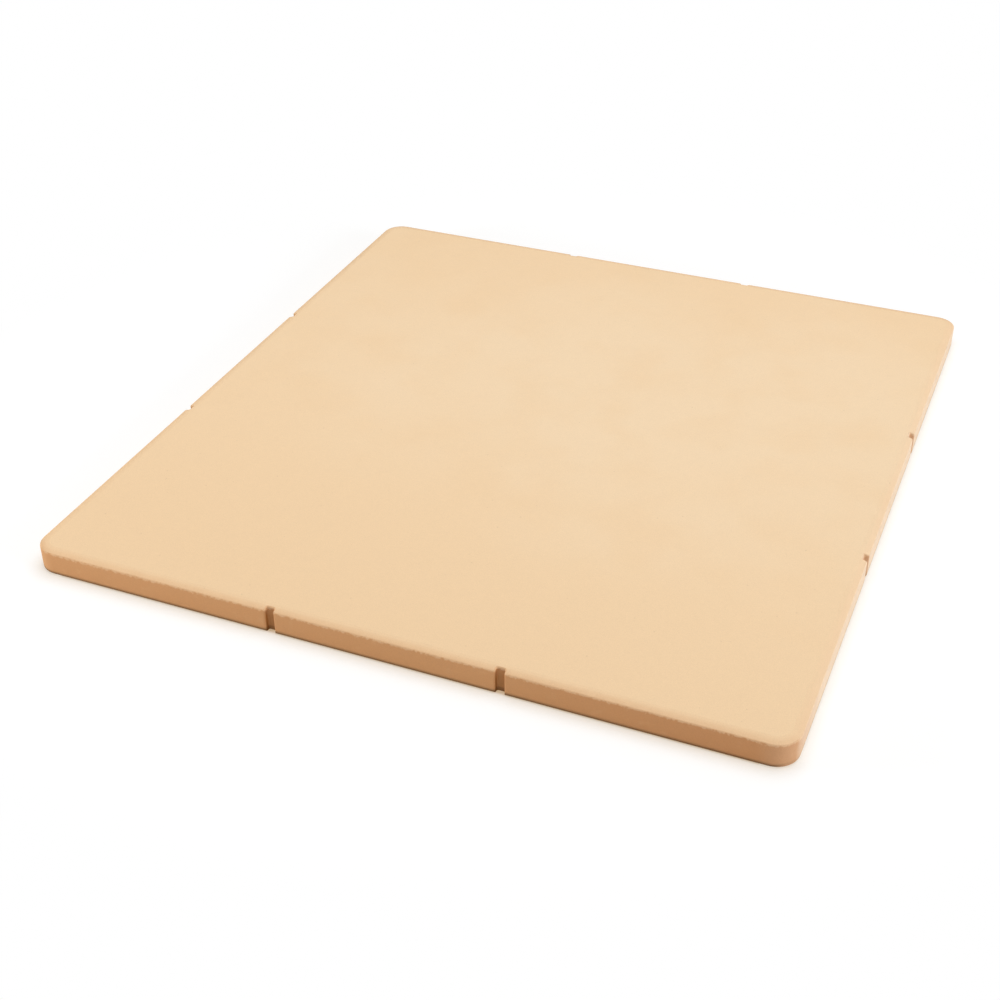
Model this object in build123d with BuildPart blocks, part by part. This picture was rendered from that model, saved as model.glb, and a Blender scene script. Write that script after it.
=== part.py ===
"""Rectangular pizza stone: one slab of pressed, fired clay with eight relief slots in its edges.

Millimetres, +Z up. The origin is the middle of the underside, the front edge faces -Y,
and the slab lies flat on the plane z = 0.
"""
from build123d import *
import os

# Slab
slab_width = 355.6
slab_length = 381.0
slab_thickness = 12.7
plan_corner_radius = 10.6
bottom_edge_radius = 1.2

# Rim: the baking face falls away in a shallow arc, and a small round turns it over the side
rim_drop = 1.0
rim_inset = 4.5
rim_edge_radius = 0.7
rim_arc_radius = (rim_inset**2 + rim_drop**2) / (2 * rim_drop)

# Relief slots: two in each edge, right through the thickness
front_slot_spacing = 107.8
side_slot_spacing = 111.6
slot_root_flat = 2.5
slot_root_radius = 0.8
slot_wall_length = 0.8
slot_mouth_radius = 0.9
slot_width = slot_root_flat + 2 * slot_root_radius
slot_depth = slot_root_radius + slot_wall_length + slot_mouth_radius

# How far a cut runs on past the material it removes
overrun = 2.0


def slot_outline(edge_distance):
    """Plan of one slot in the +Y edge, centred on X, open past the edge at edge_distance."""
    wall_x = slot_width / 2
    root_y = edge_distance - slot_depth
    with BuildSketch() as outline:
        with BuildLine():
            root = Line((0, root_y), (slot_root_flat / 2, root_y))
            root_bend = TangentArc(root @ 1, (wall_x, root_y + slot_root_radius), tangent=root % 1)
            wall = Line(root_bend @ 1, (wall_x, edge_distance - slot_mouth_radius))
            mouth_bend = TangentArc(wall @ 1, (wall_x + slot_mouth_radius, edge_distance), tangent=wall % 1)
            outer_corner = mouth_bend @ 1 + Vector(0, overrun)
            Polyline(mouth_bend @ 1, outer_corner, (0, outer_corner.Y))
            mirror(about=Plane.YZ)
        make_face()
    return outline.sketch


# Places of the slots: centre of each one's edge and the turn that brings it there
slot_places = []
for turn, edge_distance, spacing in (
    (0, slab_length / 2, front_slot_spacing),
    (90, slab_width / 2, side_slot_spacing),
    (180, slab_length / 2, front_slot_spacing),
    (270, slab_width / 2, side_slot_spacing),
):
    for side in (-1, 1):
        slot_places.append((turn, edge_distance, side * spacing / 2))

# Pillow: a block that overhangs the slab all round, so that the slab's sides cut off its
# big edge round part of the way down and leave the shallow rim
pillow_overhang = rim_arc_radius - rim_inset
with BuildPart() as pillow:
    with BuildSketch(Plane.XY.offset(slab_thickness)) as pillow_plan:
        RectangleRounded(
            slab_width + 2 * pillow_overhang,
            slab_length + 2 * pillow_overhang,
            plan_corner_radius + pillow_overhang,
        )
    extrude(amount=-(slab_thickness + rim_arc_radius))
    fillet(pillow.faces().sort_by(Axis.Z)[-1].edges(), radius=rim_arc_radius)

with BuildPart() as stone:
    with BuildSketch() as plan:
        RectangleRounded(slab_width, slab_length, plan_corner_radius)
    extrude(amount=slab_thickness)
    fillet(stone.faces().sort_by(Axis.Z)[0].edges(), radius=bottom_edge_radius)
    add(pillow.part, mode=Mode.INTERSECT)

    for turn, edge_distance, offset_along in slot_places:
        with BuildSketch(Plane.XY.offset(-overrun).rotated((0, 0, turn))) as slot:
            with Locations((offset_along, 0)):
                add(slot_outline(edge_distance))
        extrude(amount=slab_thickness + 2 * overrun, mode=Mode.SUBTRACT)

    # The small round follows the top edge of every upright wall, in and out of the slots
    middle_height = slab_thickness / 2
    walls = stone.faces().filter_by(
        lambda face: face.bounding_box().min.Z < middle_height < face.bounding_box().max.Z
    )
    fillet([wall.edges().sort_by(Axis.Z)[-1] for wall in walls], radius=rim_edge_radius)

stone.part.label = "stone_slab"

os.makedirs("parts", exist_ok=True)
export_step(stone.part, "parts/stone_slab.step")
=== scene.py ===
"""Looks of the pizza stone: fired clay, a white paper floor, soft studio light and the photograph's camera.

Metres, in the frame of the CAD part: +Z is up, and the front edge faces -Y.
"""
import bpy
import math
from collections import namedtuple
from mathutils import Matrix, Vector


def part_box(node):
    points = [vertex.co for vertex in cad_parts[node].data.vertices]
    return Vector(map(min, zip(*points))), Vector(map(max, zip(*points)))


MM = 0.001

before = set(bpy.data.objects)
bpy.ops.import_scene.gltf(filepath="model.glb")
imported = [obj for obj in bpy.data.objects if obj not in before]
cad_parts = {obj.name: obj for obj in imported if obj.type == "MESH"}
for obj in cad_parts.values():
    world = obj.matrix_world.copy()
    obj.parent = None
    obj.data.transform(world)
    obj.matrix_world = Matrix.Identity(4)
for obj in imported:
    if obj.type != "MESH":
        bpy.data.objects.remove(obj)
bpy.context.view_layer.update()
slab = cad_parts["stone_slab"]
slab_low, slab_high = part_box("stone_slab")

WHITE = (1, 1, 1, 1)
# What a vector is multiplied by to leave only its level part
LEVEL_PART = (1, 1, 0)
# Sockets of a Mix node that mixes colours
MIX_SHARE, MIX_FIRST, MIX_SECOND, MIX_RESULT = 0, 6, 7, 2

# Size of a noise's lumps, how many layers of finer ones it has, and a shift that keeps noises apart
Noise = namedtuple("Noise", "size detail shift")
# Ranges of a noise's values, 0 to 1, over which the change that it makes is spread
NOISE_RANGE = (0.3, 0.7)
WIDE_NOISE_RANGE = (0.25, 0.75)


class Nodes:
    """Short ways to add and join the nodes of one shader tree."""

    def __init__(self, tree):
        self.tree = tree

    def add(self, kind, inputs=None, **settings):
        """Add a node. Each given input gets a fixed value, or a link from another node's output."""
        node = self.tree.nodes.new(kind)
        for name, value in settings.items():
            setattr(node, name, value)
        for name, value in (inputs or {}).items():
            if isinstance(value, bpy.types.NodeSocket):
                self.tree.links.new(value, node.inputs[name])
            else:
                node.inputs[name].default_value = value
        return node

    def noise(self, place, noise):
        """Soft noise from 0 to 1."""
        moved = self.vector("ADD", place, (noise.shift, noise.shift, noise.shift))
        inputs = {"Vector": moved, "Scale": 1 / noise.size, "Detail": noise.detail}
        return self.add("ShaderNodeTexNoise", inputs).outputs["Fac"]

    def scatter(self, place, spacing):
        """Distance from the nearest of points strewn spacing apart, and that point's number, 0 to 1."""
        cells = self.add("ShaderNodeTexVoronoi", {"Vector": place, "Scale": 1 / spacing})
        distance = self.math("MULTIPLY", cells.outputs["Distance"], spacing)
        return distance, self.parts(cells.outputs["Color"])[0]

    def ramp(self, value, over, to=(0, 1), smooth=False):
        """Value that runs through the range `to` while the given one runs through the range `over`."""
        node = self.add(
            "ShaderNodeMapRange",
            {"Value": value, "From Min": over[0], "From Max": over[1], "To Min": to[0], "To Max": to[1]},
            interpolation_type="SMOOTHSTEP" if smooth else "LINEAR",
        )
        return node.outputs["Result"]

    def math(self, operation, first, *others):
        """Result of an operation on two values, or on the result so far and each further value."""
        result = first
        for other in others:
            result = self.add("ShaderNodeMath", {0: result, 1: other}, operation=operation).outputs[0]
        return result

    def absolute(self, value):
        return self.add("ShaderNodeMath", {0: value}, operation="ABSOLUTE").outputs[0]

    def vector(self, operation, first, second):
        return self.add("ShaderNodeVectorMath", {0: first, 1: second}, operation=operation).outputs[0]

    def length(self, vector):
        return self.add("ShaderNodeVectorMath", {0: vector}, operation="LENGTH").outputs["Value"]

    def parts(self, vector):
        return self.add("ShaderNodeSeparateXYZ", {0: vector}).outputs

    def mix(self, share, first, second, blend="MIX"):
        inputs = {MIX_SHARE: share, MIX_FIRST: first, MIX_SECOND: second}
        node = self.add("ShaderNodeMix", inputs, data_type="RGBA", blend_type=blend)
        return node.outputs[MIX_RESULT]


def new_material(name):
    material = bpy.data.materials.new(name)
    material.use_nodes = True
    material.node_tree.nodes.clear()
    return material, Nodes(material.node_tree)


class Spot:
    """Where each place of the clay lies on the slab, and which way its surface looks."""

    def __init__(self, nodes, place, normal):
        self.place = place
        self.x, self.y, self.z = nodes.parts(place)
        self.from_left = nodes.math("SUBTRACT", self.x, slab_low.x)
        self.from_right = nodes.math("SUBTRACT", slab_high.x, self.x)
        self.from_front = nodes.math("SUBTRACT", self.y, slab_low.y)
        self.from_top = nodes.math("SUBTRACT", slab_high.z, self.z)
        # 0 on the flat faces and 1 on upright sides
        self.sideways = nodes.length(nodes.vector("MULTIPLY", normal, LEVEL_PART))
        self.rightwards = nodes.parts(normal)[0]


# Below, a pair of distances or shares says where a change starts and where it is complete,
# and a pair of strengths says what it leads from and to

FACE_TONE = (0.890, 0.652, 0.408, 1)

# A paler patch behind the middle. Its fade is in shares of its reach
PALE_FACE_TONE = (0.898, 0.683, 0.450, 1)
PALE_PATCH_PLACE = (65 * MM, 45 * MM)
PALE_PATCH_REACH = (200 * MM, 120 * MM)
PALE_PATCH_FADE_SHARES = (1.45, 0.35)
PALE_PATCH_UNEVEN_SHARES = (-0.25, 0.25)
PALE_PATCH_NOISE = Noise(size=70 * MM, detail=3, shift=41)

# Warmth that grows towards the front edge, along a line that slants forwards to the right, and clouds of it
WARM_FACE_TONE = (0.876, 0.630, 0.384, 1)
WARM_FRONT = (-70 * MM, -190 * MM)
WARM_FRONT_SLANT = 0.25
CLOUD_NOISE = Noise(size=38 * MM, detail=3, shift=5)
CLOUD_RANGE = (0.45, 0.70)
CLOUD_WARMTH = (0, 0.45)


def face_colour(nodes, spot):
    """Pale patch that fades out unevenly, warm clouds, and warmth towards the front edge."""
    from_patch = nodes.vector("SUBTRACT", spot.place, (*PALE_PATCH_PLACE, 0))
    from_patch = nodes.vector("DIVIDE", from_patch, (*PALE_PATCH_REACH, 1))
    distance = nodes.length(nodes.vector("MULTIPLY", from_patch, LEVEL_PART))
    uneven = nodes.ramp(nodes.noise(spot.place, PALE_PATCH_NOISE), NOISE_RANGE, PALE_PATCH_UNEVEN_SHARES)
    pale = nodes.ramp(nodes.math("ADD", distance, uneven), PALE_PATCH_FADE_SHARES, smooth=True)
    slanted_y = nodes.math("ADD", spot.y, nodes.math("MULTIPLY", spot.x, WARM_FRONT_SLANT))
    warm = nodes.ramp(slanted_y, WARM_FRONT)
    cloudy = nodes.ramp(nodes.noise(spot.place, CLOUD_NOISE), CLOUD_RANGE, CLOUD_WARMTH)
    face = nodes.mix(pale, FACE_TONE, PALE_FACE_TONE)
    return nodes.mix(nodes.math("MAXIMUM", warm, cloudy), face, WARM_FACE_TONE)


# No slot starts within this distance of a corner
CORNER_REACH = 14 * MM


def inset_from_edges(nodes, x, y):
    """Distance inwards from the nearest straight edge of the slab's plan, and 1 where no corner is near."""
    from_side = nodes.math("SUBTRACT", slab_high.x, nodes.absolute(x))
    from_end = nodes.math("SUBTRACT", slab_high.y, nodes.absolute(y))
    clear_of_corners = nodes.math("GREATER_THAN", nodes.math("MAXIMUM", from_side, from_end), CORNER_REACH)
    return nodes.math("MINIMUM", from_side, from_end), clear_of_corners


# Painted shade in the slots: it starts at a slot's mouth and darkens downwards, where the shade falls. Its
# wall is less dark at the root than at its sides
SLOT_PAINTED_SHADE_TONE = (0.440, 0.190, 0.048, 1)
SLOT_MOUTH = (0.2 * MM, 1.0 * MM)
SLOT_BELOW_TOP = (0.5 * MM, 5 * MM)
SLOT_ROOT = (1.6 * MM, 2.4 * MM)
SLOT_ROOT_PAINTED_SHADE = (1, 0.4)


def slot_painted_shade(nodes, spot):
    """How far each place is inside a slot, and how much painted shade the wall has there."""
    inset, clear_of_corners = inset_from_edges(nodes, spot.x, spot.y)
    past_mouth = nodes.ramp(inset, SLOT_MOUTH)
    low_down = nodes.ramp(spot.from_top, SLOT_BELOW_TOP)
    inside = nodes.math("MULTIPLY", past_mouth, clear_of_corners, low_down)
    return inside, nodes.math("MULTIPLY", inside, nodes.ramp(inset, SLOT_ROOT, SLOT_ROOT_PAINTED_SHADE))


# The sides' brown is painted shade: the same clay as the faces, coloured as it looks in shade. It deepens
# over a stretch of X, and the left end has a darker painted-shade tone of its own
SIDE_PAINTED_SHADE_TONE = (0.654, 0.332, 0.143, 1)
DEEPER_SIDE_PAINTED_SHADE_TONE = (0.629, 0.304, 0.129, 1)
DEEPER_SIDE_PAINTED_SHADE_X = (40 * MM, 150 * MM)
LEFT_END_PAINTED_SHADE_TONE = (0.570, 0.309, 0.140, 1)
LEFT_END = (11 * MM, 2 * MM)

# Painted light at the right end: it is paler, as if lit from the right, and palest where it faces right and
# lies behind the front corner. The slots have painted light there too
SIDE_PAINTED_LIGHT_TONE = (0.871, 0.676, 0.494, 1)
RIGHT_END = (16 * MM, 2 * MM)
BEHIND_CORNER = (5 * MM, 40 * MM)
RIGHT_END_PAINTED_LIGHT = (0.20, 0.32)
RIGHT_SIDE_PAINTED_LIGHT = (0.38, 0.68)
RIGHT_SLOT_PAINTED_LIGHT = 0.35
RIGHT_SLOT_PAINTED_SHADE_SHARES = (1, 0.15)
FACING_RIGHT = (0.88, 1.0)
FACING_RIGHT_UNEVEN = (-0.03, 0.03)
FACING_RIGHT_NOISE = Noise(size=9 * MM, detail=2, shift=13)
UPRIGHT_SIDEWAYS = (0.4, 0.9)
UPRIGHT_PAINTED_LIGHT = (0.35, 1)
# Keeps the division by sideways from failing on the flat faces
LEAST_SIDEWAYS = 0.01


def side_painted_light(nodes, spot, painted_shade_in_slots):
    """How much painted light the sides have at their right end."""
    level_length = nodes.math("MAXIMUM", spot.sideways, LEAST_SIDEWAYS)
    facing_right = nodes.math("DIVIDE", spot.rightwards, level_length)
    uneven = nodes.ramp(nodes.noise(spot.place, FACING_RIGHT_NOISE), NOISE_RANGE, FACING_RIGHT_UNEVEN)
    right_side = nodes.math(
        "MULTIPLY",
        nodes.ramp(nodes.math("ADD", facing_right, uneven), FACING_RIGHT, smooth=True),
        nodes.ramp(spot.sideways, UPRIGHT_SIDEWAYS, UPRIGHT_PAINTED_LIGHT),
        nodes.ramp(spot.from_front, BEHIND_CORNER, RIGHT_SIDE_PAINTED_LIGHT),
    )
    all_round = nodes.ramp(spot.from_front, BEHIND_CORNER, RIGHT_END_PAINTED_LIGHT)
    slots = nodes.math("MULTIPLY", painted_shade_in_slots, RIGHT_SLOT_PAINTED_LIGHT)
    painted_light = nodes.math("ADD", right_side, all_round, slots)
    return nodes.math("MULTIPLY", painted_light, nodes.ramp(spot.from_right, RIGHT_END))


def side_colour_with_painted_light_and_shade(nodes, spot, painted_shade_in_slots):
    """Sides browned by painted shade, with painted shade in the slots, both lightened at the right end by
    painted light.
    """
    brown = nodes.mix(nodes.ramp(spot.x, DEEPER_SIDE_PAINTED_SHADE_X), SIDE_PAINTED_SHADE_TONE, DEEPER_SIDE_PAINTED_SHADE_TONE)
    brown = nodes.mix(nodes.ramp(spot.from_left, LEFT_END), brown, LEFT_END_PAINTED_SHADE_TONE)
    side = nodes.mix(side_painted_light(nodes, spot, painted_shade_in_slots), brown, SIDE_PAINTED_LIGHT_TONE)
    right_end = nodes.ramp(spot.from_right, RIGHT_END, RIGHT_SLOT_PAINTED_SHADE_SHARES)
    return nodes.mix(nodes.math("MULTIPLY", painted_shade_in_slots, right_end), side, SLOT_PAINTED_SHADE_TONE)


# The rim takes the side's painted-shade tone bit by bit as it turns sideways, and the rest of it at a
# ragged line below the top. At the front left corner it does so sooner, and the line lies higher
RIM_REACH = (0.85, 1.05)
RIM_REACH_NOISE = Noise(size=6 * MM, detail=2, shift=31)
RIM_LINE = (1.1 * MM, 1.9 * MM)
RIM_LINE_SHARES = (0.55, 1)
RIM_LINE_RAGGED = (-0.65 * MM, 0.65 * MM)
RIM_LINE_NOISE = Noise(size=1.4 * MM, detail=1, shift=37)
LEFT_CORNER = (14 * MM, 5 * MM)
LEFT_CORNER_REACH_SHARES = (1, 0.6)
LEFT_CORNER_LINE_RISE = 0.5 * MM


def rim_painted_shade_share(nodes, spot):
    """How much of the side's painted-shade tone each place has."""
    near_left = nodes.ramp(spot.from_left, LEFT_CORNER)
    near_front = nodes.ramp(spot.from_front, LEFT_CORNER)
    left_corner = nodes.math("MULTIPLY", near_left, near_front)
    reach = nodes.ramp(nodes.noise(spot.place, RIM_REACH_NOISE), NOISE_RANGE, RIM_REACH)
    reach = nodes.math("MULTIPLY", reach, nodes.ramp(left_corner, (0, 1), LEFT_CORNER_REACH_SHARES))
    turned = nodes.math("DIVIDE", spot.sideways, reach)
    ragged = nodes.ramp(nodes.noise(spot.place, RIM_LINE_NOISE), NOISE_RANGE, RIM_LINE_RAGGED)
    rise = nodes.math("MULTIPLY", left_corner, LEFT_CORNER_LINE_RISE)
    depth = nodes.math("ADD", nodes.math("SUBTRACT", spot.from_top, ragged), rise)
    return nodes.math("MINIMUM", turned, nodes.ramp(depth, RIM_LINE, RIM_LINE_SHARES))


# Painted shade at the foot of the sides, where the crevice with the floor is shaded, but not at the right
# end, in the slots or on the underside
FOOT = (0.5 * MM, 2.6 * MM)
FOOT_PAINTED_SHADE_TONES = (0.28, 1)
FOOT_RIGHT_END = (12 * MM, 4 * MM)
FOOT_RIGHT_END_TONES = (0, 0.9)
FOOT_SLOT_TONE = 0.75
UNDERSIDE_SIDEWAYS = (0.5, 0.2)


def painted_foot_shade(nodes, spot, in_slot):
    """Painted shade at the foot: its own, or what another part of the slab has instead where that is
    lighter.
    """
    return nodes.math(
        "MAXIMUM",
        nodes.ramp(spot.z, FOOT, FOOT_PAINTED_SHADE_TONES, smooth=True),
        nodes.ramp(spot.from_right, FOOT_RIGHT_END, FOOT_RIGHT_END_TONES),
        nodes.math("MULTIPLY", in_slot, FOOT_SLOT_TONE),
        nodes.ramp(spot.sideways, UNDERSIDE_SIDEWAYS),
    )


# Specks strewn over the clay, dark pits with high numbers and pale grains with low ones. A speck is
# larger the further its number is from the middle, and one with a size below zero doesn't show
SPECK_SPACING = 3.5 * MM
SPECK_SIZE = (-0.2 * MM, 0.45 * MM)
SPECK_EDGE = (0, 0.2 * MM)
PIT_NUMBERS = (0.5, 1)
PALE_GRAIN_NUMBERS = (0.5, 0)
PIT_TONES = (1, 0.88)
PALE_GRAIN_TONES = (1, 1.05)

# Tones of the sandy grain and of broader blotches, which also differ in roughness
GRAIN_NOISE = Noise(size=0.32 * MM, detail=2, shift=7)
GRAIN_TONES = (0.955, 1.045)
BLOTCH_NOISE = Noise(size=5 * MM, detail=3, shift=3)
BLOTCH_TONES = (0.993, 1.007)
BLOTCH_ROUGHNESS = (0.82, 0.95)
SPECULAR_LEVEL = 0.25

# Heights of the relief
SAND_NOISE = Noise(size=0.4 * MM, detail=2, shift=17)
SAND_HEIGHT = (0, 0.035 * MM)
PRESS_NOISE = Noise(size=2.2 * MM, detail=1, shift=19)
PRESS_HEIGHT = (0, 0.045 * MM)
UNDULATION_NOISE = Noise(size=22 * MM, detail=1, shift=23)
UNDULATION_HEIGHT = 0.10 * MM
PIT_HEIGHT = -0.12 * MM
RELIEF_STRENGTH = 0.8


def specks(nodes, distance, number, numbers):
    """Where the specks of one kind are. Its numbers lead from the middle to one end."""
    size = nodes.ramp(number, numbers, SPECK_SIZE)
    return nodes.ramp(nodes.math("SUBTRACT", size, distance), SPECK_EDGE)


def clay_relief(nodes, place, pits):
    """Height of the dry surface: sandy grain, the press's texture, a slight undulation and the pits."""
    return nodes.math(
        "ADD",
        nodes.ramp(nodes.noise(place, SAND_NOISE), WIDE_NOISE_RANGE, SAND_HEIGHT),
        nodes.ramp(nodes.noise(place, PRESS_NOISE), WIDE_NOISE_RANGE, PRESS_HEIGHT),
        nodes.math("MULTIPLY", nodes.noise(place, UNDULATION_NOISE), UNDULATION_HEIGHT),
        nodes.math("MULTIPLY", pits, PIT_HEIGHT),
    )


def fired_clay():
    """Unglazed fired clay: pale faces, sides browned by painted shade with a painted-shade foot, and a dry
    grain with specks.
    """
    material, nodes = new_material("fired_clay")
    texture = nodes.add("ShaderNodeTexCoord")
    spot = Spot(nodes, texture.outputs["Object"], texture.outputs["Normal"])

    # Painted shade in the slots, on the sides and over the rim, with painted light at the right end
    in_slot, painted_shade_in_slots = slot_painted_shade(nodes, spot)
    side = side_colour_with_painted_light_and_shade(nodes, spot, painted_shade_in_slots)
    colour = nodes.mix(rim_painted_shade_share(nodes, spot), face_colour(nodes, spot), side)
    distance, number = nodes.scatter(spot.place, SPECK_SPACING)
    pits = specks(nodes, distance, number, PIT_NUMBERS)
    pale_grains = specks(nodes, distance, number, PALE_GRAIN_NUMBERS)
    blotches = nodes.noise(spot.place, BLOTCH_NOISE)
    # Grain, blotches and specks, times the painted shade at the foot
    tone = nodes.math(
        "MULTIPLY",
        nodes.ramp(nodes.noise(spot.place, GRAIN_NOISE), NOISE_RANGE, GRAIN_TONES),
        nodes.ramp(blotches, NOISE_RANGE, BLOTCH_TONES),
        nodes.ramp(pits, (0, 1), PIT_TONES),
        nodes.ramp(pale_grains, (0, 1), PALE_GRAIN_TONES),
        painted_foot_shade(nodes, spot, in_slot),
    )

    relief = {"Height": clay_relief(nodes, spot.place, pits), "Distance": 1.0, "Strength": RELIEF_STRENGTH}
    shader = nodes.add(
        "ShaderNodeBsdfPrincipled",
        {
            "Base Color": nodes.mix(1.0, colour, tone, blend="MULTIPLY"),
            "Roughness": nodes.ramp(blotches, NOISE_RANGE, BLOTCH_ROUGHNESS),
            "Normal": nodes.add("ShaderNodeBump", relief).outputs[0],
            "Specular IOR Level": SPECULAR_LEVEL,
        },
    )
    nodes.add("ShaderNodeOutputMaterial", {"Surface": shader.outputs[0]})
    return material


def dress_slab():
    slab.data.materials.clear()
    slab.data.materials.append(fired_clay())


# The floor hands light on to the slab by its own tone. It shows a glow and a tone that takes the shadows.
# The glow is warm, so that the shadows are too, and the two add up to white where there is no shadow
FLOOR_TONE = (0.86, 0.86, 0.86, 1)
FLOOR_GLOW = (0.540, 0.434, 0.305, 1)
# Darker, warmer glow inside the slots' plan: painted shade on the floor under the slab
FLOOR_GLOW_WITH_PAINTED_SLOT_SHADE = (0.400, 0.250, 0.095, 1)
FLOOR_SHADOW_TONE = (0.485, 0.596, 0.730, 1)
FLOOR_SLOT_MOUTH = (-0.5 * MM, 1.0 * MM)
# Distances from the slab's middle between which the shadows fade out
SHADOWS_END = (0.275, 0.34)
FLOOR_HALF_SIDE = 4.0


def shown_directly(nodes):
    """1 for what the camera sees, itself or in a gloss, and 0 for the light that a surface hands on."""
    path = nodes.add("ShaderNodeLightPath")
    return nodes.math("MAXIMUM", path.outputs["Is Camera Ray"], path.outputs["Is Glossy Ray"])


def diffuse(nodes, colour):
    return nodes.add("ShaderNodeBsdfDiffuse", {"Color": colour}).outputs[0]


def glow(nodes, colour):
    return nodes.add("ShaderNodeEmission", {"Color": colour, "Strength": 1.0}).outputs[0]


def mix_shaders(nodes, share, first, second):
    return nodes.add("ShaderNodeMixShader", {0: share, 1: first, 2: second}).outputs[0]


def floor_material():
    """White paper: it shows almost white, with a soft shadow round the slab, painted shade inside the
    slots, and pure white further off.
    """
    material, nodes = new_material("studio_floor")
    place = nodes.add("ShaderNodeTexCoord").outputs["Object"]
    x, y, z = nodes.parts(place)
    inset, clear_of_corners = inset_from_edges(nodes, x, y)
    # Painted shade on the floor that shows through the slots
    in_slot = nodes.math("MULTIPLY", nodes.ramp(inset, FLOOR_SLOT_MOUTH), clear_of_corners)
    own = glow(nodes, nodes.mix(in_slot, FLOOR_GLOW, FLOOR_GLOW_WITH_PAINTED_SLOT_SHADE))
    near = nodes.add("ShaderNodeAddShader", {0: diffuse(nodes, FLOOR_SHADOW_TONE), 1: own}).outputs[0]
    far_off = nodes.ramp(nodes.length(place), SHADOWS_END, smooth=True)
    shown = mix_shaders(nodes, far_off, near, glow(nodes, WHITE))
    surface = mix_shaders(nodes, shown_directly(nodes), diffuse(nodes, FLOOR_TONE), shown)
    nodes.add("ShaderNodeOutputMaterial", {"Surface": surface})
    return material


def make_floor():
    mesh = bpy.data.meshes.new("studio_floor")
    signs = ((-1, -1), (1, -1), (1, 1), (-1, 1))
    corners = [(x * FLOOR_HALF_SIDE, y * FLOOR_HALF_SIDE, 0) for x, y in signs]
    mesh.from_pydata(corners, [], [(0, 1, 2, 3)])
    floor = bpy.data.objects.new("studio_floor", mesh)
    floor.data.materials.append(floor_material())
    bpy.context.scene.collection.objects.link(floor)


# Strength of the light that comes evenly from all sides
AMBIENT = 0.335


def background(nodes, strength):
    return nodes.add("ShaderNodeBackground", {"Color": WHITE, "Strength": strength}).outputs[0]


def make_world():
    world = bpy.data.worlds.new("studio")
    world.use_nodes = True
    world.node_tree.nodes.clear()
    nodes = Nodes(world.node_tree)
    surface = mix_shaders(nodes, shown_directly(nodes), background(nodes, AMBIENT), background(nodes, 1.0))
    nodes.add("ShaderNodeOutputWorld", {"Surface": surface})
    bpy.context.scene.world = world


# Square area lamps: place and side in metres, power in watts
Softbox = namedtuple("Softbox", "name place side power")
SOFTBOXES = (
    Softbox("overhead_softbox", place=(0.10, 0.20, 1.50), side=1.5, power=16.3),
    Softbox("right_softbox", place=(2.20, -0.30, 0.50), side=0.8, power=17.5),
    Softbox("left_softbox", place=(-0.76, -0.47, 0.11), side=0.25, power=3.1),
)


def make_softbox(softbox):
    """Area lamp that looks at the middle of the slab's underside."""
    lamp = bpy.data.lights.new(softbox.name, "AREA")
    lamp.shape = "SQUARE"
    lamp.size = softbox.side
    lamp.energy = softbox.power
    holder = bpy.data.objects.new(softbox.name, lamp)
    holder.location = softbox.place
    holder.rotation_euler = (-Vector(softbox.place)).to_track_quat("-Z", "Y").to_euler()
    bpy.context.scene.collection.objects.link(holder)


# Camera: place and range in metres, heading to the left of +Y, tilt down and roll in radians
CAMERA_PLACE = (0.24572, -0.64483, 0.43300)
CAMERA_HEADING = 0.3975
CAMERA_TILT = 0.5976
CAMERA_ROLL = 0.0089
CAMERA_LENS_MM = 56.69
CAMERA_SENSOR_MM = 36.0
CAMERA_NEAREST = 0.01
CAMERA_FURTHEST = 50


def make_camera():
    forward = Vector((
        -math.sin(CAMERA_HEADING) * math.cos(CAMERA_TILT),
        math.cos(CAMERA_HEADING) * math.cos(CAMERA_TILT),
        -math.sin(CAMERA_TILT),
    ))
    level_right = Vector((math.cos(CAMERA_HEADING), math.sin(CAMERA_HEADING), 0))
    level_down = forward.cross(level_right)
    right = math.cos(CAMERA_ROLL) * level_right + math.sin(CAMERA_ROLL) * level_down
    up = right.cross(forward)
    turn = Matrix((right, up, -forward)).transposed().to_4x4()
    lens = bpy.data.cameras.new("photo_camera")
    lens.sensor_width = CAMERA_SENSOR_MM
    lens.lens = CAMERA_LENS_MM
    lens.clip_start = CAMERA_NEAREST
    lens.clip_end = CAMERA_FURTHEST
    camera = bpy.data.objects.new("photo_camera", lens)
    camera.matrix_world = Matrix.Translation(CAMERA_PLACE) @ turn
    bpy.context.scene.collection.objects.link(camera)
    bpy.context.scene.camera = camera


dress_slab()
make_floor()
make_world()
for softbox in SOFTBOXES:
    make_softbox(softbox)
make_camera()
bpy.context.scene.view_settings.view_transform = "Standard"
